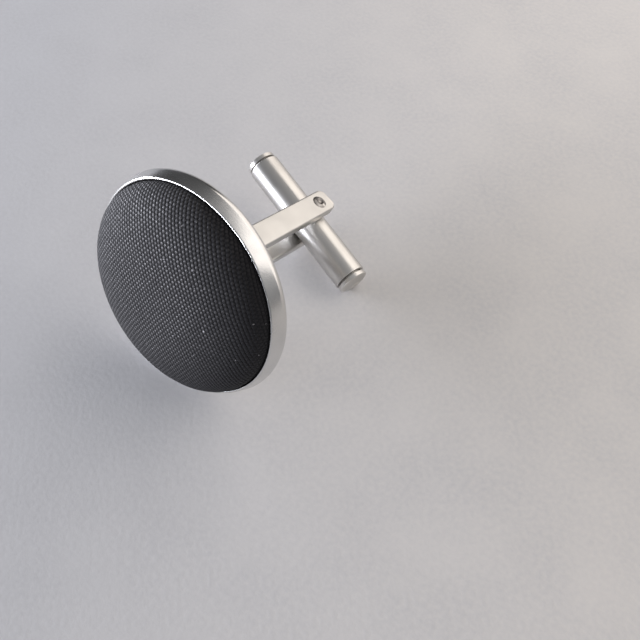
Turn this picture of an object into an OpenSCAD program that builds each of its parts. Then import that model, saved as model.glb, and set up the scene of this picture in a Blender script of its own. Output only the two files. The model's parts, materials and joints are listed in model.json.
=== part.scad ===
// Cufflink: a fabric-covered button in a round steel tray, with a forked post and a swinging toggle.
// Each piece is drawn in the tray's own frame. Its origin is the middle of the tray's back,
// +Z points out of the face, X runs along the closed toggle and Y along the cross pin.
// at_rest() then lays the whole piece down as it lies on a table: the tray's rim, the tip of the
// lower prong and one end of the toggle touch z = 0, and the face looks up along -Y.

/* [Case] */
// Outer diameter of the tray
case_d = 22; // [18:0.5:26]
// Height of the tray, from its back to the top of its lip
case_h = 2; // [1.6:0.02:2.6]
// Thickness of the tray's floor
floor_t = 0.5; // [0.3:0.05:0.6]
// Thickness of the tray's wall, whose top is rolled to a half round
wall_t = 0.65; // [0.45:0.05:0.8]
// Radius of the pressed edge between the tray's back and its wall
edge_r = 0.5; // [0.35:0.05:0.7]
// Width of the shallow ring pressed into the back, which stiffens the floor
bead_w = 0.9; // [0.5:0.1:1.4]
// Depth of that ring
bead_depth = 0.15; // [0.05:0.05:0.2]
// Diameter of that ring, along its middle
bead_d = 16.6; // [12:0.2:18]

/* [Fabric button] */
// Height of the crown above the tray's lip
crown_h = 3.4; // [2:0.1:5]
// How full the button's shoulder is: 2 is an ellipse, and more is squarer
shoulder_power = 2.45; // [2:0.05:3]
// Thickness of the woven cover
fabric_t = 0.3; // [0.2:0.05:0.4]
// Clearance between the cover and the tray's wall
fabric_gap = 0.06; // [0.03:0.01:0.15]
// Thickness of the domed former's sheet
shell_t = 0.35; // [0.25:0.05:0.45]
// Distance that the hem, turned up inside the former, stays below the tray's lip
hem_drop = 0.1; // [0.05:0.05:0.3]
// Thickness of the pan that grips the hem
pan_t = 0.35; // [0.25:0.05:0.45]
// Thickness of the adhesive under the button
adhesive_t = 0.15; // [0.08:0.01:0.3]
// Distance that the adhesive stays back from the button's edge
adhesive_margin = 1.2; // [0.6:0.1:3]

/* [Fork] */
// Distance from the tray's back to the middle of the cross pin
post_h = 17.1; // [14:0.1:20]
// Gap between the two prongs, in which the toggle turns
fork_gap = 4.06; // [3.4:0.02:4.8]
// Width of a prong
prong_w = 2.58; // [2.1:0.02:3]
// Thickness of the fork's strip
prong_t = 1.15; // [0.8:0.05:1.2]
// Distance that a prong runs on past the middle of the pin
tip_l = 1.76; // [1.3:0.02:2.2]
// Radius of the corners at a prong's tip
tip_r = 0.8; // [0.4:0.05:1]
// Inner radius of the two bends beside the fork's web
bend_r = 0.5; // [0.3:0.05:0.9]

/* [Pin] */
// Diameter of the pin
pin_d = 1.2; // [1:0.05:1.5]
// Depth of the four flats in the middle of the pin
flat_depth = 0.12; // [0.06:0.02:0.16]
// Length of those flats along the pin
flat_l = 2; // [1.6:0.1:2.2]
// Width of the rim by which a riveted head stands out past the pin
head_rim = 0.16; // [0.06:0.02:0.24]
// Height by which a head stands proud of its prong
head_h = 0.2; // [0.1:0.02:0.3]
// Diameter of the dimple that riveting leaves in a head
dimple_d = 0.9; // [0.4:0.05:1]
// Depth of that dimple
dimple_depth = 0.18; // [0.08:0.01:0.24]
// Radial clearance of the pin in the prongs, where it is riveted tight
rivet_gap = 0.01; // [0.01:0.005:0.03]
// Radial clearance of the pin in the tube, where it turns
running_gap = 0.04; // [0.02:0.01:0.08]

/* [Toggle] */
// Clearance between the tube and each prong, which sets the tube's diameter
tube_gap = 0.28; // [0.1:0.02:0.4]
// Thickness of the tube's wall
tube_t = 0.4; // [0.25:0.05:0.5]
// Length of the tube
tube_l = 16; // [13:0.1:19]
// Radius of the broken edge at each end of the tube
tube_edge_r = 0.1; // [0.05:0.01:0.2]
// Length by which an end cap stands out of the tube
cap_l = 0.96; // [0.5:0.02:1.2]
// Width of the groove between the tube and the cap's head
groove_w = 0.22; // [0.1:0.02:0.35]
// Depth of that groove below the cap's head
groove_depth = 0.3; // [0.1:0.05:0.4]
// Distance that the cap's head stays inside the tube's outline
cap_inset = 0.12; // [0.05:0.01:0.25]
// Height of the domed top of the cap's head
cap_dome_h = 0.34; // [0.2:0.02:0.45]
// Length of the cap's stem inside the tube
stem_l = 1.7; // [1:0.1:3]
// Radial clearance of the cap's stem in the tube
stem_gap = 0.01; // [0.005:0.005:0.03]
// Angle that the toggle rests at, from square across the post
toggle_swing = 8; // [0:0.5:12]

/* [Leaf spring] */
// Width of the spring's strip, as a share of the tube's bore
leaf_share = 0.44; // [0.3:0.02:0.5]
// Thickness of the strip
leaf_t = 0.18; // [0.1:0.02:0.2]
// Clearance between the strip and the pin at full turn
leaf_gap = 0.05; // [0.03:0.01:0.1]
// Clearance of the strip's ends in the tube, to the wall and to the caps' stems
leaf_play = 0.04; // [0.02:0.01:0.1]

/* [Hidden] */
$fn = 96;

// Overrun of every cut past the face that it opens
cut = 0.5;
// Clearance between two pieces of the button that are pressed together
snug = 0.02;
// Steps of a dome's outline, from its side to its crown
dome_steps = 22;
// Power of the crown's outline
crown_power = 2;
// Sides of the spring's wide arcs, so that the short stretch of them that is used is smooth
arc_sides = 720;
// Tilt and roll, in degrees, from which the resting pose is worked out, and the rounds it takes
first_guess = [24, -12];
settle_rounds = 40;

case_r = case_d / 2;
lip_r = wall_t / 2;
lip_z = case_h - lip_r;
// The ring in the back is an arc as wide as bead_w and as deep as bead_depth
bead_r = (pow(bead_w / 2, 2) + pow(bead_depth, 2)) / (2 * bead_depth);

button_z = floor_t + adhesive_t;
fabric_r = case_r - wall_t - fabric_gap;
shell_r = fabric_r - fabric_t - snug;
shell_z = button_z + fabric_t + snug;
hem_r = shell_r - shell_t - snug;
hem_inner_r = hem_r - fabric_t;
hem_top_z = case_h - hem_drop;
pan_r = hem_inner_r - snug;

tip_z = post_h + tip_l;
fork_span = fork_gap + 2 * prong_t;

pin_r = pin_d / 2;
flat_z = pin_r - flat_depth;
head_r = pin_r + head_rim;

tube_r = fork_gap / 2 - tube_gap;
tube_inner_r = tube_r - tube_t;
cap_r = tube_r - cap_inset;
// Distance from the pin to the edge of a cap's domed top, along the toggle
cap_edge = tube_l / 2 + cap_l - cap_dome_h;

leaf_w = 2 * tube_inner_r * leaf_share;
leaf_l = tube_l - 2 * stem_l - 2 * leaf_play;
leaf_z = pin_r + leaf_gap;
leaf_end_z = sqrt(pow(tube_inner_r - leaf_play, 2) - pow(leaf_w / 2, 2)) - leaf_t;
leaf_rise = max(leaf_end_z - leaf_z, leaf_play);
leaf_bow_r = (pow(leaf_l / 2, 2) + pow(leaf_rise, 2)) / (2 * leaf_rise);

// The outline of a dome of radius r and height h that starts at height z, from its side to its crown
function dome(r, h, z) = [
    for (i = [0:dome_steps])
        let (a = 90 * i / dome_steps)
        [r * pow(cos(a), 2 / shoulder_power), z + h * pow(sin(a), 2 / crown_power)]
];

function reversed(points) = [for (i = [len(points) - 1:-1:0]) points[i]];

// The resting pose is a tilt of the face above the table and a roll about the face's own axis.
// Each of these three gives how far its piece reaches below the middle of the tray's back.
function rim_reach(tilt) = (case_r - edge_r) * cos(tilt) - edge_r * sin(tilt) + edge_r;

function tip_side(roll) = cos(roll) * fork_span / 2 + abs(sin(roll)) * (prong_w / 2 - tip_r);

function tip_round(tilt, roll) = tip_r * sqrt(1 - pow(cos(roll) * cos(tilt), 2));

// How steeply the toggle's low end points down
function toggle_dip(tilt, roll) =
    -(sin(roll) * cos(tilt) * cos(toggle_swing) + sin(tilt) * sin(toggle_swing));

// The tilt at which the rim and the lower prong's tip reach equally low
function rim_and_tip(tilt, roll) =
    let (
        across = case_r - edge_r - tip_side(roll),
        along = tip_z - tip_r + edge_r,
        rounding = tip_round(tilt, roll) - edge_r
    )
    acos(rounding / norm([across, along])) - atan2(along, across);

// The roll at which the rim and the toggle's low end, its tube or its cap, reach equally low
function rim_and_toggle(tilt, roll) =
    let (
        level = sqrt(1 - pow(toggle_dip(tilt, roll), 2)),
        room = rim_reach(tilt) - post_h * sin(tilt),
        tube_dip = (room - tube_r * level) / (tube_l / 2),
        cap_dip = (room - cap_r * level) / cap_edge,
        dip = min(tube_dip, cap_dip)
    )
    -asin((dip + sin(tilt) * sin(toggle_swing)) / (cos(tilt) * cos(toggle_swing)));

function settled(pose, rounds) =
    rounds == 0
        ? pose
        : let (tilt = rim_and_tip(pose[0], pose[1]))
            settled([tilt, rim_and_toggle(tilt, pose[1])], rounds - 1);

rest_pose = settled(first_guess, settle_rounds);
rest_tilt = rest_pose[0];
rest_roll = rest_pose[1];

// How far the face, the upper prong's tip and the toggle's high end reach along the table,
// to centre the whole on it
face_reach = max([
    for (p = dome(fabric_r, crown_h, case_h))
        p[0] * sin(rest_tilt) + p[1] * cos(rest_tilt)
]);
tip_reach = (tip_z - tip_r) * cos(rest_tilt) + tip_side(rest_roll) * sin(rest_tilt)
    + tip_r * sqrt(1 - pow(cos(rest_roll) * sin(rest_tilt), 2));
toggle_slant = sin(toggle_swing) * cos(rest_tilt)
    - cos(toggle_swing) * sin(rest_roll) * sin(rest_tilt);
toggle_level = sqrt(1 - pow(toggle_slant, 2));
toggle_reach = post_h * cos(rest_tilt) + max(
    toggle_slant * tube_l / 2 + tube_r * toggle_level,
    toggle_slant * cap_edge + cap_r * toggle_level
);
back_reach = max(tip_reach, toggle_reach);

// Lays a piece down as it rests on the table
module at_rest() {
    translate([0, (face_reach - back_reach) / 2, rim_reach(rest_tilt)])
        rotate([90 - rest_tilt, 0, 0])
            rotate([0, 0, rest_roll])
                children();
}

// Places the pin, which doesn't turn with the toggle: its flats stay square to the post
module on_pin_square() {
    translate([0, 0, -post_h])
        children();
}

// Places a piece of the toggle at the cross pin, turned as the toggle rests
module on_pin() {
    on_pin_square()
        rotate([0, -toggle_swing, 0])
            children();
}

// A cylinder of radius r and length l along the cross pin, centred on it
module across(r, l) {
    rotate([90, 0, 0])
        cylinder(r = r, h = l, center = true);
}

// A square ring section: inner radius, outer radius, lower height and upper height
module band(r1, r2, z1, z2) {
    translate([r1, z1])
        square([r2 - r1, z2 - z1]);
}

// The tray is one pressed sheet: its outer edge is round, its lip is rolled and the button's
// seat is cut down to the floor
module case_section() {
    difference() {
        union() {
            band(0, case_r - edge_r, 0, lip_z);
            intersection() {
                translate([case_r - edge_r, edge_r])
                    circle(r = edge_r);
                band(case_r - edge_r, case_r, 0, edge_r);
            }
            band(case_r - edge_r, case_r, edge_r, lip_z);
            translate([case_r - lip_r, lip_z])
                circle(r = lip_r);
        }
        band(0, case_r - wall_t, floor_t, case_h);
        translate([bead_d / 2, bead_depth - bead_r])
            circle(r = bead_r);
    }
}

module case() {
    color("silver")
        at_rest()
            rotate_extrude()
                case_section();
}

module adhesive_disc() {
    color("khaki")
        at_rest()
            translate([0, 0, floor_t])
                cylinder(r = fabric_r - adhesive_margin, h = adhesive_t);
}

// A shallow pan, pressed into the former so that its wall grips the hem
module button_back() {
    color("lightgray")
        at_rest()
            rotate_extrude() {
                band(0, pan_r, button_z, button_z + pan_t);
                band(pan_r - pan_t, pan_r, button_z, hem_top_z);
            }
}

module button_shell() {
    color("gainsboro")
        at_rest()
            rotate_extrude()
                polygon(concat(
                    [[shell_r, shell_z]],
                    dome(shell_r, crown_h - fabric_t - snug, case_h),
                    reversed(dome(shell_r - shell_t, crown_h - fabric_t - snug - shell_t, case_h)),
                    [[shell_r - shell_t, shell_z]]
                ));
}

// The cover runs over the former, under its edge and up inside it as a hem
module fabric_cover() {
    color([0.12, 0.12, 0.14])
        at_rest()
            rotate_extrude()
                polygon(concat(
                    [[hem_inner_r, button_z], [fabric_r - fabric_t, button_z]],
                    [[fabric_r, button_z + fabric_t]],
                    dome(fabric_r, crown_h, case_h),
                    reversed(dome(fabric_r - fabric_t, crown_h - fabric_t, case_h)),
                    [[fabric_r - fabric_t, button_z + fabric_t], [hem_r, button_z + fabric_t]],
                    [[hem_r, hem_top_z], [hem_inner_r, hem_top_z]]
                ));
}

// The fork from the side: a strip bent twice into a U whose web lies on the tray's back
module fork_section() {
    outer_r = bend_r + prong_t;
    difference() {
        union() {
            translate([-fork_span / 2, -tip_z])
                square([fork_span, tip_z - outer_r]);
            translate([-fork_span / 2 + outer_r, -tip_z])
                square([fork_span - 2 * outer_r, tip_z]);
            for (side = [-1, 1])
                translate([side * (fork_span / 2 - outer_r), -outer_r])
                    circle(r = outer_r);
        }
        translate([-fork_gap / 2, -tip_z - cut])
            square([fork_gap, tip_z + cut - outer_r]);
        translate([-fork_gap / 2 + bend_r, -tip_z])
            square([fork_gap - 2 * bend_r, tip_z - prong_t]);
        for (side = [-1, 1])
            translate([side * (fork_gap / 2 - bend_r), -outer_r])
                circle(r = bend_r);
    }
}

// The outline of the flat strip, seen along the pin: straight sides and a rounded tip
module strip_outline() {
    translate([-prong_w / 2, -tip_z + tip_r])
        square([prong_w, tip_z - tip_r]);
    translate([-prong_w / 2 + tip_r, -tip_z])
        square([prong_w - 2 * tip_r, tip_z]);
    for (side = [-1, 1])
        translate([side * (prong_w / 2 - tip_r), -tip_z + tip_r])
            circle(r = tip_r);
}

module fork() {
    color("lightsteelblue")
        at_rest()
            difference() {
                intersection() {
                    rotate([90, 0, 90])
                        linear_extrude(height = prong_w, center = true)
                            fork_section();
                    rotate([90, 0, 0])
                        linear_extrude(height = fork_span, center = true)
                            strip_outline();
                }
                translate([0, 0, -post_h])
                    across(pin_r + rivet_gap, fork_span + 2 * cut);
            }
}

// A riveted head: a low disc with a rounded edge and a dimple in its middle
module pin_head() {
    dimple_r = (pow(dimple_d / 2, 2) + pow(dimple_depth, 2)) / (2 * dimple_depth);
    crown_r = (pow(head_r, 2) + pow(head_h, 2)) / (2 * head_h);
    difference() {
        intersection() {
            cylinder(r = head_r, h = head_h);
            translate([0, 0, head_h - crown_r])
                sphere(r = crown_r);
        }
        translate([0, 0, head_h - dimple_depth + dimple_r])
            sphere(r = dimple_r);
    }
}

// The four flats hold the leaf spring at square and in line, and its corners lift it between
module pivot_pin() {
    color("darkgray")
        at_rest()
            on_pin_square() {
                difference() {
                    across(pin_r, fork_span);
                    for (turn = [0:90:270])
                        rotate([0, turn, 0])
                            translate([-pin_d, -flat_l / 2, flat_z])
                                cube([2 * pin_d, flat_l, flat_depth + cut]);
                }
                for (side = [-1, 1])
                    rotate([-side * 90, 0, 0])
                        translate([0, 0, fork_span / 2])
                            pin_head();
            }
}

// The tube before it is bored: a bar with a broken edge at each end
module tube_blank() {
    rotate_extrude() {
        band(0, tube_r - tube_edge_r, -tube_l / 2, tube_l / 2);
        band(0, tube_r, -tube_l / 2 + tube_edge_r, tube_l / 2 - tube_edge_r);
        for (side = [-1, 1])
            translate([tube_r - tube_edge_r, side * (tube_l / 2 - tube_edge_r)])
                circle(r = tube_edge_r);
    }
}

module toggle_tube() {
    color("whitesmoke")
        at_rest()
            on_pin()
                difference() {
                    rotate([0, 90, 0])
                        difference() {
                            tube_blank();
                            cylinder(r = tube_inner_r, h = tube_l + 2 * cut, center = true);
                        }
                    across(pin_r + running_gap, 2 * (tube_r + cut));
                }
}

// An arched strip: its middle bears on the pin's flat and its ends on the tube's wall
module leaf_spring() {
    color("goldenrod")
        at_rest()
            on_pin()
                rotate([90, 0, 0])
                    linear_extrude(height = leaf_w, center = true)
                        intersection() {
                            translate([0, leaf_z + leaf_bow_r])
                                difference() {
                                    circle(r = leaf_bow_r, $fn = arc_sides);
                                    circle(r = leaf_bow_r - leaf_t, $fn = arc_sides);
                                }
                            translate([-leaf_l / 2, leaf_z])
                                square([leaf_l, leaf_rise + 2 * leaf_t]);
                        }
}

// A turned plug: a stem in the tube, a narrow neck that leaves a groove, and a domed head
module end_cap() {
    head_l = cap_l - groove_w;
    crown_r = (pow(cap_r, 2) + pow(cap_dome_h, 2)) / (2 * cap_dome_h);
    rotate([0, 90, 0]) {
        translate([0, 0, tube_l / 2 - stem_l])
            cylinder(r = tube_inner_r - stem_gap, h = stem_l);
        translate([0, 0, tube_l / 2])
            cylinder(r = min(cap_r - groove_depth, tube_inner_r - stem_gap), h = groove_w);
        intersection() {
            translate([0, 0, tube_l / 2 + groove_w])
                cylinder(r = cap_r, h = head_l);
            translate([0, 0, tube_l / 2 + cap_l - crown_r])
                sphere(r = crown_r);
        }
    }
}

module end_cap_right() {
    color("gainsboro")
        at_rest()
            on_pin()
                end_cap();
}

module end_cap_left() {
    color("gainsboro")
        at_rest()
            on_pin()
                mirror([1, 0, 0])
                    end_cap();
}

case();
adhesive_disc();
button_back();
button_shell();
fabric_cover();
fork();
pivot_pin();
toggle_tube();
leaf_spring();
end_cap_left();
end_cap_right();
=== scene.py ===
"""The looks of a cufflink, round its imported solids: a woven cover on a domed button in a satin
steel tray, a forked post with a riveted pin, and a toggle that swings on it.

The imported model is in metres. Sizes in this file are in millimetres, as a maker gives them, and
MM turns them to metres where a mesh, a lamp or a node needs them.
"""

import json
import logging
import math
from abc import ABC, abstractmethod
from collections.abc import Sequence
from dataclasses import dataclass
from enum import Enum
from typing import Any

import bpy
import numpy as np
from mathutils import Matrix, Vector


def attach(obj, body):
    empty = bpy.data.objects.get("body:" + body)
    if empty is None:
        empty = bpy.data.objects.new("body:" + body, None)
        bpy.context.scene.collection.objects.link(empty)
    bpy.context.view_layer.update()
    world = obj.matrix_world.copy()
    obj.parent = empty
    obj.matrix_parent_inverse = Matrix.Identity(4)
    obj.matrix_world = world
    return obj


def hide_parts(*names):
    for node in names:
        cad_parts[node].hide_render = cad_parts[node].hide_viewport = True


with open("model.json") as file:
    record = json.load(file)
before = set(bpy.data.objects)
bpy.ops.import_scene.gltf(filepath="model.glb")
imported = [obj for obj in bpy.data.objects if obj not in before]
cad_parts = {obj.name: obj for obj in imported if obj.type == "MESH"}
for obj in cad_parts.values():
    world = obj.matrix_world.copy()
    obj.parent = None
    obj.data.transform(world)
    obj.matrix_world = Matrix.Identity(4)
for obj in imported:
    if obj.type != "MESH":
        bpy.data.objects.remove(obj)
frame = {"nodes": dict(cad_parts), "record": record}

LOG = logging.getLogger("cufflink")
MM = 0.001
CLOTH_ATTRIBUTE = "cloth"
# Refractive index of polyester, of epoxy and, near enough, of paper
ORDINARY_IOR = 1.5
# Blender's noise seldom leaves this span
NOISE_SPAN = (0.3, 0.7)


class Body(Enum):
    """The two bodies that the hinge joins."""

    STUD = "stud"
    TOGGLE = "toggle"


class Lay(Enum):
    """The direction in which a steel surface was worked, as stretch factors of its grain."""

    TUMBLED = (1.0, 1.0, 1.0)
    TURNED = (1.0, 0.12, 0.12)
    ROLLED = (1.0, 1.0, 0.1)


def linear(hex_code: str) -> tuple[float, float, float, float]:
    """Turns an sRGB hex colour into the linear colour that Blender's sockets take.

    Args:
        hex_code: Six hex digits with a leading hash.

    Returns:
        Red, green, blue and an alpha of 1.
    """
    values = [int(hex_code[i : i + 2], 16) / 255 for i in (1, 3, 5)]
    red, green, blue = (v / 12.92 if v <= 0.04045 else ((v + 0.055) / 1.055) ** 2.4 for v in values)
    return red, green, blue, 1.0


def direction(azimuth: float, elevation: float) -> Vector:
    """Gives a direction away from the cufflink.

    Args:
        azimuth: Degrees round the table: 0 is the side that the face looks to, 90 is +X.
        elevation: Degrees above the table.

    Returns:
        The unit vector.
    """
    a, e = math.radians(azimuth), math.radians(elevation)
    return Vector((math.sin(a) * math.cos(e), -math.cos(a) * math.cos(e), math.sin(e)))


def add_node(
    tree: bpy.types.NodeTree,
    kind: str,
    settings: dict[str, Any] | None = None,
    links: dict[str | int, Any] | None = None,
    out: str | int = 0,
) -> bpy.types.NodeSocket | None:
    """Adds a node with its settings and its inputs.

    Args:
        tree: The node tree that gets the node.
        kind: The node's type, such as "ShaderNodeBump".
        settings: The node's own properties.
        links: For each input, the socket that feeds it or the value that it holds.
        out: The output that the caller wants.

    Returns:
        That output, or None for a node that has none.
    """
    node = tree.nodes.new(kind)
    for name, value in (settings or {}).items():
        setattr(node, name, value)
    for name, value in (links or {}).items():
        if isinstance(value, bpy.types.NodeSocket):
            tree.links.new(value, node.inputs[name])
        else:
            node.inputs[name].default_value = value
    return node.outputs[out] if node.outputs else None


def noise(
    tree: bpy.types.NodeTree, place: bpy.types.NodeSocket, size: float, detail: float
) -> bpy.types.NodeSocket:
    """Adds noise in three dimensions.

    Args:
        tree: The node tree that gets the node.
        place: The socket that holds a surface point's place, in metres.
        size: Size of the noise's largest features, in millimetres.
        detail: How many finer layers it has.

    Returns:
        The noise, round 0.5.
    """
    links = {"Vector": place, "Scale": 1 / (size * MM), "Detail": detail}
    return add_node(tree, "ShaderNodeTexNoise", links=links)


def mix(tree: bpy.types.NodeTree, factor: Any, first: Any, second: Any) -> bpy.types.NodeSocket:
    """Mixes two colours.

    Args:
        tree: The node tree that gets the node.
        factor: How much of the second colour shows, from 0 to 1.
        first: The first colour, as a socket or as linear values.
        second: The second colour.

    Returns:
        The mixed colour.
    """
    links = {"Factor": factor, "A": first, "B": second}
    return add_node(tree, "ShaderNodeMix", {"data_type": "RGBA"}, links, out=2)


def remap(
    tree: bpy.types.NodeTree,
    value: bpy.types.NodeSocket,
    source: tuple[float, float] = (0.0, 1.0),
    target: tuple[float, float] = (0.0, 1.0),
) -> bpy.types.NodeSocket:
    """Maps one span of values to another, and holds what lies outside it at the ends.

    Args:
        tree: The node tree that gets the node.
        value: The value to map.
        source: The span that it comes from.
        target: The span that it goes to.

    Returns:
        The mapped value.
    """
    links = dict(zip(("From Min", "From Max", "To Min", "To Max"), (*source, *target)))
    return add_node(tree, "ShaderNodeMapRange", links={"Value": value, **links})


def bump(
    tree: bpy.types.NodeTree,
    height: bpy.types.NodeSocket,
    depth: float,
    strength: float = 1.0,
    normal: bpy.types.NodeSocket | None = None,
) -> bpy.types.NodeSocket:
    """Raises a surface by a pattern.

    Args:
        tree: The node tree that gets the node.
        height: The pattern.
        depth: How far a pattern of 1 stands above one of 0, in millimetres.
        strength: How much of that shows, from 0 to 1.
        normal: The bumped normal to build on, if there is one.

    Returns:
        The bumped normal.
    """
    links = {"Strength": strength, "Distance": depth * MM, "Height": height}
    if normal:
        links["Normal"] = normal
    return add_node(tree, "ShaderNodeBump", links=links)


def maths(tree: bpy.types.NodeTree, operation: str, *terms: Any) -> bpy.types.NodeSocket:
    """Adds a sum on single values.

    Args:
        tree: The node tree that gets the node.
        operation: Blender's name of the sum.
        *terms: Its terms, as sockets or numbers.

    Returns:
        The result.
    """
    return add_node(tree, "ShaderNodeMath", {"operation": operation}, dict(enumerate(terms)))


def vector_maths(
    tree: bpy.types.NodeTree, operation: str, *terms: Any, out: str = "Vector"
) -> bpy.types.NodeSocket:
    """Adds a sum on vectors.

    Args:
        tree: The node tree that gets the node.
        operation: Blender's name of the sum.
        *terms: Its terms, as sockets or vectors.
        out: "Vector", or "Value" for a sum that gives a single value.

    Returns:
        The result.
    """
    feeds = dict(enumerate(terms))
    return add_node(tree, "ShaderNodeVectorMath", {"operation": operation}, feeds, out)


@dataclass(frozen=True)
class Placement:
    """Where the tray's own frame lies in the row frame: origin on its back, +Z out of the face."""

    matrix: Matrix

    @classmethod
    def from_record(cls, record: dict[str, Any], post_h: float) -> "Placement":
        """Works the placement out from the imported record.

        Args:
            record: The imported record, whose hinge is the cross pin and whose mounts face the cuff.
            post_h: Distance from the tray's back to the cross pin.

        Returns:
            The placement.
        """
        hinge = record["behaviour"]["joints"][0]
        side = Vector(hinge["axis"]).normalized()
        out = -Vector(record["mounts"][0]["axis"]).normalized()
        along = side.cross(out).normalized()
        origin = Vector(hinge["pos_m"]) + out * post_h * MM
        turn = Matrix((along, out.cross(along), out)).transposed()
        return cls(Matrix.Translation(origin) @ turn.to_4x4())

    def points(self, local: np.ndarray) -> np.ndarray:
        """Takes points from the tray's frame, in millimetres, to the row frame, in metres."""
        turn = np.array(self.matrix.to_3x3())
        return local * MM @ turn.T + np.array(self.matrix.translation)

    def coordinates(self, tree: bpy.types.NodeTree) -> bpy.types.NodeSocket:
        """Adds nodes that give a surface point's place in the tray's frame, in metres.

        Args:
            tree: The material's node tree.

        Returns:
            The socket that holds the place.
        """
        place = add_node(tree, "ShaderNodeTexCoord", out="Object")
        links = {
            "Vector": place,
            "Location": self.matrix.translation,
            "Rotation": self.matrix.to_euler(),
        }
        return add_node(tree, "ShaderNodeMapping", {"vector_type": "TEXTURE"}, links)


@dataclass(frozen=True)
class Finish(ABC):
    """A material and how its surface was made."""

    name: str

    def material(self) -> bpy.types.Material:
        """Gives the finish's Blender material, built the first time that it is asked for.

        Returns:
            The material.
        """
        ready = bpy.data.materials.get(self.name)
        if ready:
            return ready
        made = bpy.data.materials.new(self.name)
        made.use_nodes = True
        tree = made.node_tree
        tree.nodes.clear()
        shader = add_node(tree, "ShaderNodeBsdfPrincipled", links=self.inputs(tree))
        add_node(tree, "ShaderNodeOutputMaterial", links={"Surface": shader})
        return made

    def dress(self, *pieces: bpy.types.Object) -> None:
        """Gives the finish to pieces.

        Args:
            *pieces: The pieces, which are CAD nodes or new meshes.
        """
        for piece in pieces:
            if not piece.data.materials:
                piece.data.materials.append(None)
            for holder in piece.material_slots:
                holder.material = self.material()

    @abstractmethod
    def inputs(self, tree: bpy.types.NodeTree) -> dict[str, Any]:
        """Adds the nodes that feed the shader.

        Args:
            tree: The material's node tree.

        Returns:
            What goes into the shader's sockets.
        """


@dataclass(frozen=True)
class PlacedFinish(Finish):
    """A finish whose pattern is laid out in the tray's own frame."""

    place: Placement


@dataclass(frozen=True)
class SatinSteel(PlacedFinish):
    """Stainless steel, pressed or turned and then tumbled with fine media.

    Tumbling leaves a satin that blurs reflections, a grain of tiny dents that glitters a little,
    and edges that are polished brighter than the flats.
    """

    colour: str
    stain: str
    roughness: float
    worn: str = "#dedbd6"
    # Colour of the painted shade in corners and crevices
    corner_shade: str = "#4a4744"
    unevenness: float = 0.05
    # Dents of about 0.05 mm in the real surface, drawn at 0.11 mm so that the render shows them
    dent: float = 0.11
    dent_depth: float = 0.0016
    dent_detail: float = 3.0
    # Slow waves that pressing leaves in thin sheet
    wave: float = 2.4
    wave_depth: float = 0.006
    wave_detail: float = 2.0
    # Reach of the occlusion test that gives corners their painted shade
    corner: float = 0.22
    corner_samples: int = 6
    # Share of open air over which a corner goes from painted shade to its plain colour
    shade_fade: tuple[float, float] = (0.25, 0.8)
    # Sharpness over which an edge goes from plain to polished, where 0.5 is flat
    polished: tuple[float, float] = (0.52, 0.62)
    lay: Lay = Lay.TUMBLED

    def inputs(self, tree: bpy.types.NodeTree) -> dict[str, Any]:
        """Adds the grain, the waves, the stains, the polished edges and painted shade in corners.

        Args:
            tree: The material's node tree.

        Returns:
            What goes into the shader's sockets.
        """
        place = self.place.coordinates(tree)
        worked = vector_maths(tree, "MULTIPLY", place, self.lay.value)
        grain = noise(tree, worked, self.dent, self.dent_detail)
        slow = noise(tree, place, self.wave, self.wave_detail)
        pointed = add_node(tree, "ShaderNodeNewGeometry", out="Pointiness")
        edge = remap(tree, pointed, self.polished)
        open_air = add_node(
            tree,
            "ShaderNodeAmbientOcclusion",
            {"samples": self.corner_samples},
            {"Distance": self.corner * MM},
            out="AO",
        )
        # Painted shade: the colour darkens in corners and crevices, the more closed in they are
        unshaded = remap(tree, open_air, self.shade_fade)
        mottled = mix(tree, slow, linear(self.colour), linear(self.stain))
        bright = mix(tree, edge, mottled, linear(self.worn))
        base = mix(tree, unshaded, linear(self.corner_shade), bright)
        spread = (self.roughness - self.unevenness, self.roughness + self.unevenness)
        waved = bump(tree, slow, self.wave_depth)
        return {
            "Base Color": base,
            "Metallic": 1.0,
            "Roughness": remap(tree, slow, NOISE_SPAN, spread),
            "Normal": bump(tree, grain, self.dent_depth, normal=waved),
        }


@dataclass(frozen=True)
class PressedAluminium(PlacedFinish):
    """Bare aluminium sheet, pressed to shape: pale, even, with faint drawing lines."""

    colour: str = "#d6d6d8"
    drawn: str = "#bfc0c3"
    roughness: float = 0.38
    line: float = 0.15
    line_detail: float = 4.0
    line_depth: float = 0.002
    line_strength: float = 0.4

    def inputs(self, tree: bpy.types.NodeTree) -> dict[str, Any]:
        """Adds the drawing lines.

        Args:
            tree: The material's node tree.

        Returns:
            What goes into the shader's sockets.
        """
        lines = noise(tree, self.place.coordinates(tree), self.line, self.line_detail)
        return {
            "Base Color": mix(tree, lines, linear(self.colour), linear(self.drawn)),
            "Metallic": 1.0,
            "Roughness": self.roughness,
            "Normal": bump(tree, lines, self.line_depth, self.line_strength),
        }


@dataclass(frozen=True)
class CuredAdhesive(PlacedFinish):
    """Clear two-part adhesive, cured amber, with small trapped bubbles."""

    colour: str = "#c9b98a"
    deep: str = "#a8925c"
    roughness: float = 0.25
    bubble: float = 0.4
    bubble_depth: float = 0.01
    bubble_strength: float = 0.5

    def inputs(self, tree: bpy.types.NodeTree) -> dict[str, Any]:
        """Adds the bubbles.

        Args:
            tree: The material's node tree.

        Returns:
            What goes into the shader's sockets.
        """
        links = {"Vector": self.place.coordinates(tree), "Scale": 1 / (self.bubble * MM)}
        bubbles = add_node(tree, "ShaderNodeTexVoronoi", links=links, out="Distance")
        return {
            "Base Color": mix(tree, bubbles, linear(self.deep), linear(self.colour)),
            "Roughness": self.roughness,
            "IOR": ORDINARY_IOR,
            "Normal": bump(tree, bubbles, self.bubble_depth, self.bubble_strength),
        }


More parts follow.
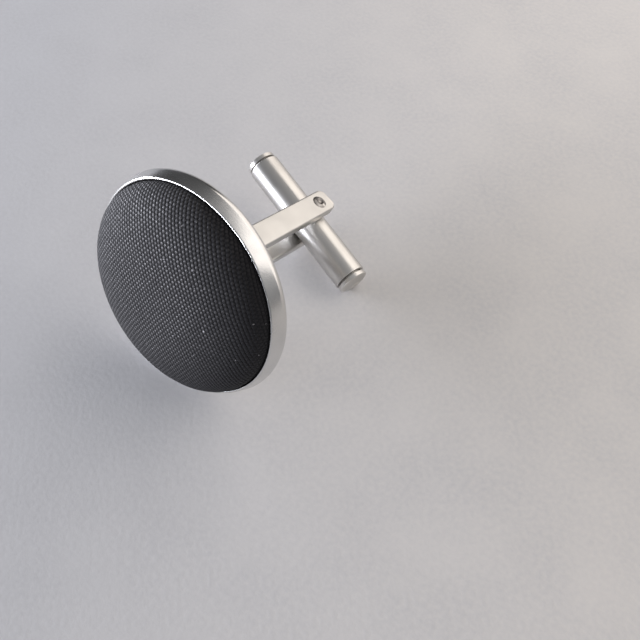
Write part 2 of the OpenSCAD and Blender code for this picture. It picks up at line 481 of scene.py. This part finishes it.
@dataclass(frozen=True)
class WovenPolyester(Finish):
    """Near-black polyester in a plain weave of smooth filament yarns, stretched tight.

    The coarse yarns float over the fine ones in a checkerboard. Each float is a small rounded
    rib that catches the light, so the eye sees regular pale flecks on a black ground. The floats
    are coloured paler than the yarn's own near-black, which is painted glint, and the gaps between
    them darker, which is painted shade.
    """

    # The floats' colour, the yarn's tone with painted glint, and the gaps', with painted shade
    rib: str = "#4b494a"
    ground: str = "#040309"
    lint: str = "#8c8a8c"
    # Pitch of the coarse yarns and of the fine ones
    coarse: float = 0.36
    fine: float = 0.2
    # Direction, in the tray's frame, in which the coarse yarns follow each other
    bias: float = 49.4
    # Span over which the yarns wander from straight, and how many times in a millimetre
    wander: float = 0.12
    wander_rate: float = 0.45
    wander_detail: float = 2.0
    # Heights as shares of a coarse yarn's own: its wave, a fine yarn's wave and its roundness
    yarn_wave: float = 0.28
    pick_wave: float = 0.15
    pick_round: float = 0.2
    # Height over which a coarse yarn goes from sunk to floating
    floating: tuple[float, float] = (0.6, 1.08)
    depth: float = 0.1
    roughness: float = 0.36
    sunk_roughness: float = 0.95
    # Brightness of the dullest float beside the brightest
    dullest: float = 0.55
    # Shading kept in the cloth's own colour and roughness, placed by measured tones
    # to match the one photograph. In the real object it is most likely light. Floats have their
    # full tone up to pale_to from pale_at, measured along the cloth, and shaded_share of it from
    # black_from on. It stays under any lamp, and a shaded_share of 1 takes it out.
    pale_at: tuple[float, float, float] = (-3.6, 0.0, 0.0)
    pale_to: float = 7.0
    black_from: float = 13.0
    shaded_share: float = 0.1
    # How many times in a millimetre lint may lie, and the noise over which it does
    lint_rate: float = 1.9
    lint_detail: float = 1.0
    linty: tuple[float, float] = (0.815, 0.85)

    def wandering(
        self, tree: bpy.types.NodeTree, flat: bpy.types.NodeSocket
    ) -> bpy.types.NodeSocket:
        """Turns the cloth's coordinates to its yarns and lets them wander.

        Args:
            tree: The material's node tree.
            flat: The place on the flat cloth, in millimetres.

        Returns:
            The place across the coarse yarns (X) and along them (Y).
        """
        turned = add_node(
            tree,
            "ShaderNodeVectorRotate",
            {"rotation_type": "Z_AXIS"},
            {"Vector": flat, "Angle": -math.radians(self.bias)},
        )
        drift = add_node(
            tree,
            "ShaderNodeTexNoise",
            {"noise_dimensions": "2D"},
            {"Vector": turned, "Scale": self.wander_rate, "Detail": self.wander_detail},
            out="Color",
        )
        centred = vector_maths(tree, "SUBTRACT", drift, (0.5, 0.5, 0.5))
        reach = (self.wander, self.wander, 0.0)
        return vector_maths(tree, "MULTIPLY_ADD", centred, reach, turned)

    def weave(
        self, tree: bpy.types.NodeTree, place: bpy.types.NodeSocket
    ) -> dict[str, bpy.types.NodeSocket]:
        """Adds the sums that lay coarse yarns and fine picks over and under each other.

        Args:
            tree: The material's node tree.
            place: The place across the coarse yarns (X) and along them (Y).

        Returns:
            Every step's result by its name.
        """
        u = add_node(tree, "ShaderNodeSeparateXYZ", links={0: place}, out="X")
        v = u.node.outputs["Y"]
        steps = (
            ("across", "DIVIDE", u, self.coarse),
            ("along", "DIVIDE", v, self.fine),
            ("yarn", "FLOOR", "across"),
            ("pick", "FLOOR", "along"),
            ("side", "SUBTRACT", "across", "yarn"),
            ("side_c", "MULTIPLY_ADD", "side", 2.0, -1.0),
            ("side_2", "MULTIPLY", "side_c", "side_c"),
            ("round_y", "SUBTRACT", 1.0, "side_2"),
            ("rise_y", "SQRT", "round_y"),
            ("end", "SUBTRACT", "along", "pick"),
            ("end_c", "MULTIPLY_ADD", "end", 2.0, -1.0),
            ("end_2", "MULTIPLY", "end_c", "end_c"),
            ("round_p", "SUBTRACT", 1.0, "end_2"),
            ("rise_p", "SQRT", "round_p"),
            ("phase_y", "SUBTRACT", "along", "yarn"),
            ("phase_yc", "SUBTRACT", "phase_y", 0.5),
            ("angle_y", "MULTIPLY", "phase_yc", math.pi),
            ("wave_y", "COSINE", "angle_y"),
            ("phase_p", "SUBTRACT", "across", "pick"),
            ("phase_pc", "SUBTRACT", "phase_p", 0.5),
            ("angle_p", "MULTIPLY", "phase_pc", math.pi),
            ("wave_p", "COSINE", "angle_p"),
            ("yarn_h", "MULTIPLY_ADD", "wave_y", self.yarn_wave, "rise_y"),
            ("sunk_p", "MULTIPLY", "wave_p", -self.pick_wave),
            ("pick_h", "MULTIPLY_ADD", "rise_p", self.pick_round, "sunk_p"),
            ("height", "MAXIMUM", "yarn_h", "pick_h"),
        )
        value: dict[str, bpy.types.NodeSocket] = {}
        for name, operation, *terms in steps:
            feeds = [value.get(t, t) if isinstance(t, str) else t for t in terms]
            value[name] = maths(tree, operation, *feeds)
        return value

    def inputs(self, tree: bpy.types.NodeTree) -> dict[str, Any]:
        """Adds the yarns' heights and colours.

        Args:
            tree: The material's node tree.

        Returns:
            What goes into the shader's sockets.
        """
        kept = {"attribute_name": CLOTH_ATTRIBUTE}
        flat = add_node(tree, "ShaderNodeAttribute", kept, out="Vector")
        value = self.weave(tree, self.wandering(tree, flat))
        links = {"X": value["yarn"], "Y": value["pick"]}
        cell = add_node(tree, "ShaderNodeCombineXYZ", links=links)
        in_plane = {"noise_dimensions": "2D"}
        chance = add_node(tree, "ShaderNodeTexWhiteNoise", in_plane, {"Vector": cell})
        on_top = remap(tree, value["yarn_h"], self.floating)
        lively = remap(tree, chance, target=(self.dullest, 1.0))
        from_patch = vector_maths(tree, "DISTANCE", flat, self.pale_at, out="Value")
        reach = (self.pale_to, self.black_from)
        shaded = remap(tree, from_patch, reach, (1.0, self.shaded_share))
        bright = maths(tree, "MULTIPLY", maths(tree, "MULTIPLY", on_top, lively), shaded)
        # Painted glint on the floating yarns and painted shade in the gaps between them
        yarns = mix(tree, bright, linear(self.ground), linear(self.rib))
        links = {"Vector": flat, "Scale": self.lint_rate, "Detail": self.lint_detail}
        specks = add_node(tree, "ShaderNodeTexNoise", in_plane, links)
        fluff = remap(tree, specks, self.linty)
        return {
            "Base Color": mix(tree, fluff, yarns, linear(self.lint)),
            "Roughness": remap(tree, bright, target=(self.sunk_roughness, self.roughness)),
            "IOR": ORDINARY_IOR,
            "Normal": bump(tree, value["height"], self.depth),
        }


@dataclass(frozen=True)
class MottledPaper(Finish):
    """Matt paper on a table: pale grey, with soft blotches and a fine tooth.

    Its tone drifts from cool to warm along one direction of the table. The drift stands in for
    the mixed light of the photograph's room, so it too stays under any lamp.
    """

    cool: str = "#d4d5d9"
    warm: str = "#e4e0dc"
    blotch: str = "#c3c3c6"
    roughness: float = 0.75
    # How much of the blotches' tone shows, and the product of both noises over which it sets in
    blotched: float = 0.45
    blotching: tuple[float, float] = (0.1, 0.45)
    patch: float = 9.0
    tooth: float = 0.5
    tooth_depth: float = 0.03
    tooth_strength: float = 0.5
    detail: float = 3.0
    drift_azimuth: float = 128.0
    drift_reach: float = 32.0

    def inputs(self, tree: bpy.types.NodeTree) -> dict[str, Any]:
        """Adds the blotches, the tooth and the drift.

        Args:
            tree: The material's node tree.

        Returns:
            What goes into the shader's sockets.
        """
        place = add_node(tree, "ShaderNodeTexCoord", out="Object")
        patches = noise(tree, place, self.patch, self.detail)
        fine = noise(tree, place, self.tooth, self.detail)
        both = maths(tree, "MULTIPLY", patches, fine)
        spread = remap(tree, both, self.blotching, (0.0, self.blotched))
        along = direction(self.drift_azimuth, 0.0)
        across = vector_maths(tree, "DOT_PRODUCT", place, along, out="Value")
        reach = self.drift_reach * MM
        drift = remap(tree, across, (-reach, reach))
        tone = mix(tree, drift, linear(self.cool), linear(self.warm))
        return {
            "Base Color": mix(tree, spread, tone, linear(self.blotch)),
            "Roughness": self.roughness,
            "IOR": ORDINARY_IOR,
            "Normal": bump(tree, fine, self.tooth_depth, self.tooth_strength),
        }


@dataclass(frozen=True)
class Finishes:
    """The steels of the cufflink."""

    place: Placement

    def pressed_steel(self) -> Finish:
        """The tray: pressed sheet, whose wall shows slow waves."""
        return SatinSteel(
            "stainless_steel_pressed_and_tumbled",
            self.place,
            colour="#dfdedc",
            stain="#cdccca",
            roughness=0.24,
            dent_depth=0.0034,
        )

    def stamped_steel(self) -> Finish:
        """The fork: stamped strip, bent and tumbled long enough to round its edges."""
        return SatinSteel(
            "stainless_steel_stamped_and_tumbled",
            self.place,
            colour="#d4d2ce",
            stain="#c9c7c3",
            roughness=0.38,
            dent_depth=0.0022,
        )

    def turned_steel(self) -> Finish:
        """The tube and its plugs: turned bar, with rings too fine to see but for their sheen."""
        return SatinSteel(
            "stainless_steel_turned",
            self.place,
            colour="#d2d0cc",
            stain="#c1beba",
            roughness=0.36,
            wave_depth=0.003,
            lay=Lay.TURNED,
        )

    def shaded_riveted_steel(self) -> Finish:
        """The pin: drawn wire, its ends spun over; darker than the rest after the photograph:
        painted shade.
        """
        return SatinSteel(
            "stainless_steel_riveted_shaded",
            self.place,
            # Colours darker than the other steels': painted shade, darkest in its corners
            colour="#8f8b88",
            stain="#6b6866",
            corner_shade="#262423",
            roughness=0.33,
            dent_depth=0.003,
        )

    def spring_steel(self) -> Finish:
        """The leaf: rolled and hardened strip, straw-coloured from the oven."""
        return SatinSteel(
            "spring_steel_rolled",
            self.place,
            colour="#a39a8a",
            stain="#7d7468",
            roughness=0.36,
            lay=Lay.ROLLED,
        )


def mesh_object(name: str, points: np.ndarray, faces: Sequence[Sequence[int]]) -> bpy.types.Object:
    """Makes a smooth-shaded mesh object at the origin.

    Args:
        name: The object's name.
        points: Its vertices, in metres, in the row frame.
        faces: Its faces, as vertex indices.

    Returns:
        The linked object.
    """
    mesh = bpy.data.meshes.new(name)
    mesh.from_pydata(points.tolist(), [], [list(f) for f in faces])
    mesh.validate()
    mesh.polygons.foreach_set("use_smooth", [True] * len(mesh.polygons))
    made = bpy.data.objects.new(name, mesh)
    bpy.context.scene.collection.objects.link(made)
    return made


def ring_faces(rings: int, sides: int) -> list[tuple[int, ...]]:
    """Joins closed rings of points into quads.

    Args:
        rings: How many rings follow each other.
        sides: How many points a ring has.

    Returns:
        The faces.
    """
    faces = []
    for ring in range(rings - 1):
        for i in range(sides):
            j = (i + 1) % sides
            a, b = ring * sides, (ring + 1) * sides
            faces.append((a + i, a + j, b + j, b + i))
    return faces


def pole_faces(rings: int, sides: int) -> list[tuple[int, ...]]:
    """Joins rings of points, and closes the first and the last of them to a pole each.

    Args:
        rings: How many rings follow each other, from the pole on top to the one below.
        sides: How many points a ring has. The two poles follow the last ring.

    Returns:
        The faces.
    """
    faces = ring_faces(rings, sides)
    top, under, last = rings * sides, rings * sides + 1, (rings - 1) * sides
    for i in range(sides):
        j = (i + 1) % sides
        faces.append((top, j, i))
        faces.append((under, last + i, last + j))
    return [face[::-1] for face in faces]


def arc(middle: Sequence[float], radius: float, start: float, end: float, steps: int) -> np.ndarray:
    """Gives the points of an arc.

    Args:
        middle: Its centre.
        radius: Its radius.
        start: The angle of its first point, in radians.
        end: The angle of its last point.
        steps: How many steps it takes.

    Returns:
        The points, first and last included.
    """
    a = np.linspace(start, end, steps + 1)
    return np.stack([middle[0] + radius * np.cos(a), middle[1] + radius * np.sin(a)], 1)


def spaced(path: np.ndarray, count: int) -> np.ndarray:
    """Spaces points evenly along a path.

    Args:
        path: The path's corners.
        count: How many points to give.

    Returns:
        The points, with the path's first and last among them.
    """
    steps = np.linalg.norm(np.diff(path, axis=0), axis=1)
    reach = np.concatenate([[0.0], np.cumsum(steps)])
    wanted = np.linspace(0.0, reach[-1], count)
    return np.stack([np.interp(wanted, reach, path[:, k]) for k in range(path.shape[1])], 1)


@dataclass
class CoveredButton:
    """The domed button: woven cover, aluminium former, pan and adhesive."""

    place: Placement
    case_h: float = 2.0
    cover_r: float = 10.29
    crown_h: float = 3.4
    shoulder_power: float = 2.45
    cloth_t: float = 0.3
    button_z: float = 0.65
    hem_r: float = 9.6
    hem_inner_r: float = 9.3
    hem_top_z: float = 1.9
    # How far the tight cloth pulls in between its pleats, which start at the hem
    pull: float = 0.03
    pleats: int = 17
    # Shares of the pull that come from the pleats and from three slow waves round the cloth
    pleat_share: float = 0.7
    slow_share: float = 0.9
    slow_waves: int = 3
    slow_phase: float = 0.9
    # How unevenly the pleats follow each other, and from where
    uneven: float = 1.3
    uneven_phase: float = 0.4
    # Where the pull is strongest, as a share of the crown's height, and how far it spreads
    shoulder_at: float = 0.28
    shoulder_spread: float = 0.05
    sides: int = 288
    face_rings: int = 120
    dome_points: int = 400
    fold_steps: int = 11

    def dome(self, r: float, h: float) -> np.ndarray:
        """Gives a dome's outline, from its crown to its side.

        Args:
            r: Radius of the dome.
            h: Height of the dome above the tray's lip.

        Returns:
            Radius and height of each point.
        """
        a = np.linspace(math.pi / 2, 0.0, self.dome_points)
        radius = r * np.cos(a) ** (2 / self.shoulder_power)
        return np.stack([radius, self.case_h + h * np.sin(a)], 1)

    def face_path(self) -> np.ndarray:
        """Gives the cover's outer side, from the crown over the edge to the end of the hem.

        Returns:
            Radius and height of each corner of the path.
        """
        fold_at = (self.cover_r - self.cloth_t, self.button_z + self.cloth_t)
        fold = arc(fold_at, self.cloth_t, 0.0, -math.pi / 2, self.fold_steps)
        hem = np.array([[self.hem_inner_r, self.button_z], [self.hem_inner_r, self.hem_top_z]])
        return np.concatenate([self.dome(self.cover_r, self.crown_h), fold, hem])

    def back_path(self) -> np.ndarray:
        """Gives the cover's inner side, from the end of the hem to the crown.

        Returns:
            Radius and height of each corner of the path.
        """
        under = self.button_z + self.cloth_t
        inner_r = self.cover_r - self.cloth_t
        turn = np.array([[self.hem_r, self.hem_top_z], [self.hem_r, under], [inner_r, under]])
        return np.concatenate([turn, self.dome(inner_r, self.crown_h - self.cloth_t)[::-1]])

    def pulled_in(self, face: np.ndarray, count: int, turn: np.ndarray) -> np.ndarray:
        """Gives how far the tight cloth pulls in between its pleats.

        Args:
            face: Radius and height of each corner of the outer side, without the crown.
            count: How many rings the whole cover has.
            turn: The angle of each of a ring's points, in radians.

        Returns:
            The pull of each ring's points.
        """
        shoulder = np.zeros(count)
        low = face[:, 1] - self.case_h
        on_dome = low > 0
        off = low[on_dome] / self.crown_h - self.shoulder_at
        shoulder[: len(face)][on_dome] = np.exp(-(off**2) / self.shoulder_spread)
        lag = self.uneven * np.sin(2 * turn + self.uneven_phase)
        wave = 0.5 + 0.5 * np.cos(self.pleats * turn + lag)
        slow = 0.5 + 0.5 * np.sin(self.slow_waves * turn + self.slow_phase)
        around = self.pleat_share * wave + self.slow_share * slow
        return self.pull * shoulder[:, None] * around[None, :]

    def build_cover(self) -> bpy.types.Object:
        """Builds the cover as one closed sheet, with its place on the flat cloth kept with it.

        Returns:
            The cover.
        """
        face = spaced(self.face_path(), self.face_rings)
        back = spaced(self.back_path(), self.face_rings // 2)
        outline = np.concatenate([face[1:], back[:-1]])
        turn = np.linspace(0.0, 2 * math.pi, self.sides, endpoint=False)
        radius = np.repeat(outline[:, :1], self.sides, axis=1)
        height = np.repeat(outline[:, 1:], self.sides, axis=1)
        radius = radius - self.pulled_in(face[1:], len(outline), turn)
        points = np.stack([radius * np.cos(turn), radius * np.sin(turn), height], 2).reshape(-1, 3)
        ends = np.array([[0.0, 0.0, face[0, 1]], [0.0, 0.0, back[-1, 1]]])
        cover = mesh_object(
            "woven_cover",
            self.place.points(np.concatenate([points, ends])),
            pole_faces(len(outline), self.sides),
        )
        reach = np.linalg.norm(np.diff(np.concatenate([face, back]), axis=0), axis=1).cumsum()
        away = np.repeat(reach[: len(outline), None], self.sides, axis=1)
        flat = np.stack([away * np.cos(turn), away * np.sin(turn), away * 0], 2).reshape(-1, 3)
        flat = np.concatenate([flat, np.zeros((2, 3))])
        kept = cover.data.attributes.new(CLOTH_ATTRIBUTE, "FLOAT_VECTOR", "POINT")
        kept.data.foreach_set("vector", flat.ravel())
        return cover

    def build(self, finishes: Finishes) -> None:
        """Builds the cover, dresses the pieces and says what rides where.

        Args:
            finishes: Not used; the button's finishes are made here.
        """
        cover = self.build_cover()
        WovenPolyester("polyester_plain_weave").dress(cover)
        PressedAluminium("aluminium_pressed", self.place).dress(
            frame["nodes"]["button_shell"], frame["nodes"]["button_back"]
        )
        CuredAdhesive("epoxy_adhesive_cured", self.place).dress(frame["nodes"]["adhesive_disc"])
        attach(cover, Body.STUD.value)
        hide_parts("fabric_cover")


@dataclass
class Tray:
    """The pressed tray: its wall leans in from the round edge of its back to a narrow lip."""

    place: Placement
    outer_r: float = 11.0
    height: float = 2.0
    wall_t: float = 0.65
    floor_t: float = 0.5
    edge_r: float = 0.7
    lip_w: float = 0.3
    bead_d: float = 16.6
    bead_w: float = 0.9
    bead_depth: float = 0.15
    # Width of the worn corner on either side of the bead
    bead_ease: float = 0.04
    sides: int = 360
    lip_steps: int = 16
    edge_steps: int = 20
    bead_steps: int = 12

    def outline(self) -> np.ndarray:
        """Gives the tray's section, from the middle of its seat over the lip to that of its back.

        Returns:
            Radius and height of each point, without the two on the axis.
        """
        seat_r = self.outer_r - self.wall_t
        lip_r = self.lip_w / 2
        edge_at = (self.outer_r - self.edge_r, self.edge_r)
        lip_at = (seat_r + lip_r, self.height - lip_r)
        over, up = lip_at[0] - edge_at[0], lip_at[1] - edge_at[1]
        facing = math.atan2(up, over) - math.acos((self.edge_r - lip_r) / math.hypot(over, up))
        seat = np.array([[seat_r / 2, self.floor_t], [seat_r, self.floor_t]])
        lip = arc(lip_at, lip_r, math.pi, facing, self.lip_steps)
        edge = arc(edge_at, self.edge_r, facing, -math.pi / 2, self.edge_steps)
        half_w = self.bead_w / 2
        bead_r = (half_w**2 + self.bead_depth**2) / (2 * self.bead_depth)
        bead_at = (self.bead_d / 2, self.bead_depth - bead_r)
        reach = math.asin(half_w / bead_r)
        start, end = math.pi / 2 - reach, math.pi / 2 + reach
        bead = arc(bead_at, bead_r, start, end, self.bead_steps)
        outside = np.array([[self.bead_d / 2 + half_w + self.bead_ease, 0.0]])
        inside = np.array([[self.bead_d / 2 - half_w - self.bead_ease, 0.0]])
        return np.concatenate([seat, lip, edge, outside, bead, inside])

    def build_tray(self) -> bpy.types.Object:
        """Turns the section round the axis.

        Returns:
            The tray.
        """
        outline = self.outline()
        turn = np.linspace(0.0, 2 * math.pi, self.sides, endpoint=False)
        flat = np.outer(outline[:, 0], np.cos(turn)), np.outer(outline[:, 0], np.sin(turn))
        height = np.repeat(outline[:, 1:], self.sides, axis=1)
        points = np.stack([*flat, height], 2).reshape(-1, 3)
        poles = np.array([[0.0, 0.0, self.floor_t], [0.0, 0.0, 0.0]])
        return mesh_object(
            "tapered_tray",
            self.place.points(np.concatenate([points, poles])),
            pole_faces(len(outline), self.sides),
        )

    def build(self, finishes: Finishes) -> None:
        """Builds the tray, dresses it and says what rides where.

        Args:
            finishes: The finishes to take.
        """
        tray = self.build_tray()
        finishes.pressed_steel().dress(tray)
        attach(tray, Body.STUD.value)
        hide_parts("case")
        LOG.info("tray: %d faces", len(tray.data.polygons))


@dataclass
class ForkedPost:
    """The U of bent strip on the tray's back, and the pin riveted through its prongs."""

    place: Placement
    post_h: float = 17.1
    tip_l: float = 1.76
    gap: float = 4.06
    width: float = 2.58
    thickness: float = 1.15
    bend_r: float = 0.5
    tip_r: float = 0.8
    # Radius to which tumbling has worn the strip's edges
    edge_r: float = 0.2
    bore_r: float = 0.61
    # Least radius of the edges where a tip's end closes
    least_edge: float = 0.02
    # How far the drill reaches out of the prongs
    drill_excess: float = 1.0
    corner_steps: int = 6
    bore_steps: int = 48
    tip_points: int = 14
    wear_points: int = 7
    # The strip is drawn finely from the web's middle to fine_to, and coarsely from there to the
    # rounded tips. The bends reach to 3.2 mm, so most of each bend is drawn with coarse steps.
    fine_to: float = 1.9
    fine_points: int = 24
    coarse_points: int = 30

    def section(self, half_w: float, half_t: float, edge: float) -> np.ndarray:
        """Gives the strip's cross section: a rectangle with rounded corners.

        Args:
            half_w: Half of its width.
            half_t: Half of its thickness.
            edge: Radius of its corners.

        Returns:
            Place across the width and place through the thickness, point by point.
        """
        points = []
        for k, (sx, sy) in enumerate(((1, 1), (-1, 1), (-1, -1), (1, -1))):
            for step in range(self.corner_steps + 1):
                a = math.pi / 2 * (k + step / self.corner_steps)
                x = sx * (half_w - edge) + edge * math.cos(a)
                y = sy * (half_t - edge) + edge * math.sin(a)
                points.append((x, y))
        return np.array(points)

    def bent(self, s: np.ndarray, t: np.ndarray) -> np.ndarray:
        """Bends the flat strip into the U.

        Args:
            s: Place along the strip, from the middle of its web.
            t: Place through its thickness, positive on the outside of the U.

        Returns:
            Place across the fork and height over the tray's back.
        """
        middle_r = self.bend_r + self.thickness / 2
        web = self.gap / 2 - self.bend_r
        bend = middle_r * math.pi / 2
        side = np.sign(s)
        far = np.abs(s)
        turn = np.clip((far - web) / middle_r, 0.0, math.pi / 2)
        down = np.maximum(far - web - bend, 0.0)
        flat = np.minimum(far, web)
        reach = middle_r + t
        y = side * (flat + reach * np.sin(turn))
        z = -self.thickness / 2 - middle_r + reach * np.cos(turn) - down
        return np.stack([y, z], -1)

    def half_length(self) -> float:
        """Gives the strip's length along its middle, from the web's middle to a tip."""
        middle_r = self.bend_r + self.thickness / 2
        straight = self.post_h + self.tip_l - self.bend_r - self.thickness
        return self.gap / 2 - self.bend_r + middle_r * math.pi / 2 + straight

    def build_fork(self) -> bpy.types.Object:
        """Builds the fork from a strip with worn edges, bends it and bores it for the pin.

        Returns:
            The fork.
        """
        length = self.half_length()
        rounding = self.tip_r * (1 - np.cos(np.linspace(0.0, math.pi / 2, self.tip_points)))
        wear = self.edge_r * (1 - np.cos(np.linspace(0.0, math.pi / 2, self.wear_points)))
        near_tip = np.unique(np.concatenate([wear, rounding]).round(5))
        fine_from = length - self.fine_to
        coarse = np.linspace(self.tip_r, fine_from, self.coarse_points)[1:]
        fine = np.linspace(fine_from, length, self.fine_points)[1:]
        from_tip = np.concatenate([near_tip, coarse, fine])
        stations = np.concatenate([length - from_tip, -(length - from_tip)[::-1][1:]])
        half_w, half_t = self.width / 2, self.thickness / 2
        rings = []
        for s in stations:
            d = length - abs(s)
            in_tip = max(self.tip_r - d, 0.0)
            in_wear = max(self.edge_r - d, 0.0)
            w = half_w - self.tip_r + math.sqrt(self.tip_r**2 - in_tip**2)
            inset = self.edge_r - math.sqrt(self.edge_r**2 - in_wear**2)
            cut = self.section(w, half_t - inset, max(self.edge_r - inset, self.least_edge))
            x, t = cut[:, 0], cut[:, 1]
            yz = self.bent(np.full(len(x), s), t)
            rings.append(np.stack([x, yz[:, 0], yz[:, 1]], 1))
        sides = len(rings[0])
        faces = ring_faces(len(rings), sides)
        faces.append(tuple(range(sides))[::-1])
        last = (len(rings) - 1) * sides
        faces.append(tuple(range(last, last + sides)))
        fork = mesh_object("tumbled_fork", self.place.points(np.concatenate(rings)), faces)
        self.bore(fork)
        return fork

    def bore(self, fork: bpy.types.Object) -> None:
        """Cuts the pin's hole through both prongs.

        Args:
            fork: The fork, whose mesh is replaced by the bored one.
        """
        count = self.bore_steps
        turn = np.linspace(0.0, 2 * math.pi, count, endpoint=False)
        side = np.stack([self.bore_r * np.cos(turn), turn * 0, self.bore_r * np.sin(turn)], 1)
        reach = self.gap / 2 + self.thickness + self.drill_excess
        ends = [side + np.array([0.0, y, -self.post_h]) for y in (-reach, reach)]
        faces = ring_faces(2, count)
        faces += [tuple(range(count))[::-1], tuple(range(count, 2 * count))]
        drill = mesh_object("drill", self.place.points(np.concatenate(ends)), faces)
        cut = fork.modifiers.new("bore", "BOOLEAN")
        cut.operation, cut.object, cut.solver = "DIFFERENCE", drill, "EXACT"
        graph = bpy.context.evaluated_depsgraph_get()
        bored = bpy.data.meshes.new_from_object(fork.evaluated_get(graph))
        fork.modifiers.clear()
        fork.data = bored
        bpy.data.objects.remove(drill)

    def build(self, finishes: Finishes) -> None:
        """Builds the fork, dresses it and the pin and says what rides where.

        Args:
            finishes: The finishes to take.
        """
        fork = self.build_fork()
        finishes.stamped_steel().dress(fork)
        finishes.shaded_riveted_steel().dress(frame["nodes"]["pivot_pin"])
        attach(fork, Body.STUD.value)
        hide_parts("fork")
        LOG.info("post: fork with %d faces, pivot_pin", len(fork.data.polygons))


@dataclass
class Toggle:
    """The tube that swings on the pin, with the leaf spring inside it and a plug in each end."""

    def build(self, finishes: Finishes) -> None:
        """Dresses the toggle's pieces.

        Args:
            finishes: The finishes to take.
        """
        nodes = frame["nodes"]
        finishes.turned_steel().dress(
            nodes["toggle_tube"], nodes["end_cap_left"], nodes["end_cap_right"]
        )
        finishes.spring_steel().dress(nodes["leaf_spring"])
        LOG.info("toggle: toggle_tube, leaf_spring, end_cap_left, end_cap_right")


@dataclass(frozen=True)
class SoftPanel:
    """A lamp behind a diffusing sheet, which faces the cufflink."""

    name: str
    azimuth: float
    elevation: float
    distance: float
    width: float
    height: float
    brightness: float
    colour: str

    def hang(self, aim: Vector) -> None:
        """Hangs the panel and turns it to the cufflink.

        Args:
            aim: The point that it faces, in metres.
        """
        data = bpy.data.lights.new(self.name, "AREA")
        data.shape = "RECTANGLE"
        data.size, data.size_y = self.width * MM, self.height * MM
        data.color = linear(self.colour)[:3]
        data.energy = self.brightness * math.pi * data.size * data.size_y
        away = direction(self.azimuth, self.elevation)
        lamp = bpy.data.objects.new(self.name, data)
        lamp.location = aim + away * self.distance * MM
        lamp.rotation_euler = away.to_track_quat("Z", "Y").to_euler()
        lamp.visible_camera = False
        bpy.context.scene.collection.objects.link(lamp)


@dataclass(frozen=True)
class Viewpoint:
    """The camera, where the photograph was taken."""

    place: tuple[float, float, float] = (34.94, -29.92, 67.25)
    right: tuple[float, float, float] = (0.78296, 0.62173, -0.0209)
    up: tuple[float, float, float] = (-0.51776, 0.66991, 0.53211)
    lens: float = 42.51
    sensor: float = 36.0
    # Nearest and farthest that the camera sees, in metres
    near: float = 0.002
    far: float = 20.0

    def build(self) -> None:
        """Makes the camera and looks through it."""
        data = bpy.data.cameras.new("viewpoint")
        data.lens, data.sensor_width = self.lens, self.sensor
        data.clip_start, data.clip_end = self.near, self.far
        right = Vector(self.right).normalized()
        back = right.cross(Vector(self.up)).normalized()
        turn = Matrix((right, back.cross(right), back)).transposed()
        camera = bpy.data.objects.new("viewpoint", data)
        camera.matrix_world = Matrix.Translation(Vector(self.place) * MM) @ turn.to_4x4()
        bpy.context.scene.collection.objects.link(camera)
        bpy.context.scene.camera = camera
        LOG.info("camera at %s mm", self.place)


@dataclass
class Studio:
    """The table, the lamps and the room round them."""

    reach: float = 3000.0
    # Each with its azimuth, elevation, distance, width, height and brightness
    panels: tuple[SoftPanel, ...] = (
        SoftPanel("window_left", -57.0, 6.5, 600.0, 1080.0, 120.0, 25.0, "#f1f4ff"),
        SoftPanel("panel_behind", 155.0, 30.0, 230.0, 388.0, 264.0, 1.35, "#fff7f0"),
    )
    # Height of the point that the panels face
    aim_z: float = 10.0
    # The room is dim but for its ceiling, which is lit most above the table's far right
    room: str = "#f2f3f6"
    room_light: float = 0.07
    ceiling_light: float = 0.55
    ceiling_azimuth: float = 90.0
    ceiling_elevation: float = 58.0
    ceiling_falloff: float = 2.0

    def build(self) -> None:
        """Lays the table, hangs the lamps and lights the room."""
        r = self.reach * MM
        square = np.array([[-r, -r, 0.0], [r, -r, 0.0], [r, r, 0.0], [-r, r, 0.0]])
        table = mesh_object("table_top", square, [(0, 1, 2, 3)])
        MottledPaper("paper_mottled_grey").dress(table)
        for panel in self.panels:
            panel.hang(Vector((0.0, 0.0, self.aim_z * MM)))
        world = bpy.data.worlds.new("room")
        world.use_nodes = True
        tree = world.node_tree
        tree.nodes.clear()
        seen = add_node(tree, "ShaderNodeTexCoord", out="Generated")
        brightest = direction(self.ceiling_azimuth, self.ceiling_elevation)
        facing = vector_maths(tree, "DOT_PRODUCT", seen, brightest, out="Value")
        soft = maths(tree, "POWER", maths(tree, "MAXIMUM", facing, 0.0), self.ceiling_falloff)
        strength = maths(tree, "MULTIPLY_ADD", soft, self.ceiling_light, self.room_light)
        links = {"Color": linear(self.room), "Strength": strength}
        glow = add_node(tree, "ShaderNodeBackground", links=links)
        add_node(tree, "ShaderNodeOutputWorld", links={"Surface": glow})
        scene = bpy.context.scene
        scene.world = world
        scene.view_settings.view_transform = "Standard"
        LOG.info("studio: table and %d lamps", len(self.panels))


def main() -> None:
    logging.basicConfig(level=logging.INFO, format="%(name)s: %(message)s")
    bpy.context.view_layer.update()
    place = Placement.from_record(frame["record"], ForkedPost.post_h)
    finishes = Finishes(place)
    Viewpoint().build()
    Tray(place).build(finishes)
    CoveredButton(place).build(finishes)
    ForkedPost(place).build(finishes)
    Toggle().build(finishes)
    Studio().build()
    bpy.context.view_layer.update()


if __name__ == "__main__":
    main()
